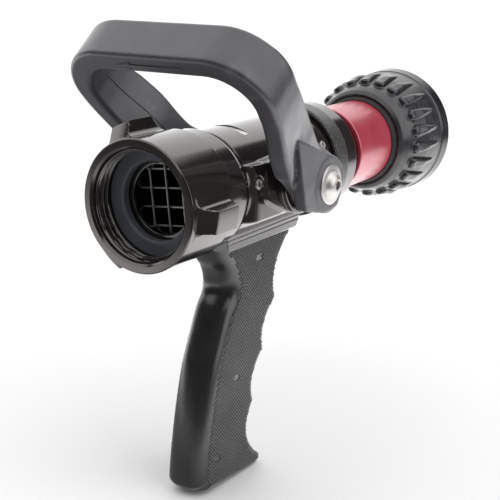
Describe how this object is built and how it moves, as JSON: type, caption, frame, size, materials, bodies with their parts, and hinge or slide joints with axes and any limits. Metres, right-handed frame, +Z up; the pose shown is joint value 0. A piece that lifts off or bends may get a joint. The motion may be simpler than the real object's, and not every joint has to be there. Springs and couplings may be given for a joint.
{
  "type": "fire hose nozzle",
  "caption": "Pistol-grip fire hose nozzle with a swivel inlet, bail-operated ball valve, flow ring, red pattern sleeve and rubber bumper.",
  "frame": {"origin": "centre of the inlet face of the swivel coupling, on the waterway's axis", "axes": "+X along the flow from inlet to tip, +Y to the operator's left, +Z up, with the pistol grip pointing down"},
  "size_m": [0.2525, 0.1076, 0.2281],
  "materials": {
    "black_anodised": "hard anodised, glossy",
    "gasket_rubber": "dull moulded rubber",
    "seal_rubber": "moulded rubber",
    "stainless": "bright stainless",
    "dark_steel": "plain steel",
    "seat_polymer": "moulded polymer",
    "ball_steel": "polished",
    "barrel_anodised": "hard anodised, satin",
    "red_dark": "red anodised, shaded",
    "red_anodised": "red anodised, satin",
    "saddle_grey": "grey anodised, satin, grooved",
    "grip_polymer": "moulded, dotted side panels",
    "bail_polymer": "moulded, fine grain",
    "flow_ring_grey": "speckled hard coat",
    "bumper_rubber": "moulded rubber, scuffed",
    "stop_ring_brown": "dark polymer",
    "tooth_polymer": "moulded polymer",
    "spring_steel": "plain steel"
  },
  "bodies": {
    "valve_body": {"valve_body": "black_anodised", "debris_screen": "stainless", "bearing_balls": "stainless", "swivel_oring": "seal_rubber", "rear_seat": "seat_polymer", "rear_seat_spring": "spring_steel", "front_seat": "seat_polymer", "front_seat_oring": "seal_rubber", "trunnion_bushings": "seat_polymer", "trunnion_orings": "seal_rubber", "seat_lock_screw": "stainless", "barrel_lock_screws": "stainless", "front_barrel": "barrel_anodised", "barrel_oring": "seal_rubber", "guide_sleeve": "red_dark", "stem_spider": "spring_steel", "stem": "stainless", "baffle_head": "stainless", "baffle_nut": "stainless", "grip_saddle": "saddle_grey", "saddle_screws": "dark_steel", "pistol_grip": "grip_polymer", "grip_cross_pin": "dark_steel", "flow_detent_ball": "stainless", "flow_detent_spring": "spring_steel"},
    "swivel": {"swivel_coupling": "black_anodised", "inlet_gasket": "gasket_rubber", "race_plug": "dark_steel"},
    "bail": {"bail_handle": "bail_polymer", "valve_ball": "ball_steel", "trunnion_stems": "spring_steel", "bail_bolts": "stainless", "bail_washers": "seat_polymer"},
    "flow_ring": {"flow_ring": "flow_ring_grey", "flow_ring_band": "black_anodised"},
    "cam_ring": {"cam_ring": "seat_polymer", "cam_pins": "spring_steel"},
    "pattern_sleeve": {"pattern_sleeve": "red_anodised", "sleeve_oring": "seal_rubber", "bumper_stop_ring": "stop_ring_brown", "rubber_bumper": "bumper_rubber", "tooth_ring_clip": "spring_steel"},
    "fog_teeth": {"tooth_ring": "tooth_polymer"}
  },
  "joints": [
    {"name": "swivel_turn", "type": "hinge", "parent": "valve_body", "child": "swivel", "pos_m": [0.03, 0, 0], "axis": [1, 0, 0], "continuous": true},
    {"name": "bail_swing", "type": "hinge", "parent": "valve_body", "child": "bail", "pos_m": [0.089, 0, 0], "axis": [0, 1, 0], "range_deg": [0, 90]},
    {"name": "flow_select", "type": "hinge", "parent": "valve_body", "child": "flow_ring", "pos_m": [0.14, 0, 0], "axis": [1, 0, 0], "range_deg": [0, 105]},
    {"name": "pattern_twist", "type": "hinge", "parent": "valve_body", "child": "cam_ring", "pos_m": [0.209, 0, 0], "axis": [1, 0, 0], "range_deg": [0, 150]},
    {"name": "pattern_travel", "type": "slide", "parent": "cam_ring", "child": "pattern_sleeve", "axis": [1, 0, 0], "range_m": [-0.01001, 0]},
    {"name": "fog_teeth_spin", "type": "hinge", "parent": "pattern_sleeve", "child": "fog_teeth", "pos_m": [0.244, 0, 0], "axis": [1, 0, 0], "continuous": true}
  ],
  "couplings": [
    {"joint": "pattern_travel", "follows": "pattern_twist", "m_per_rad": -0.0038197}
  ]
}
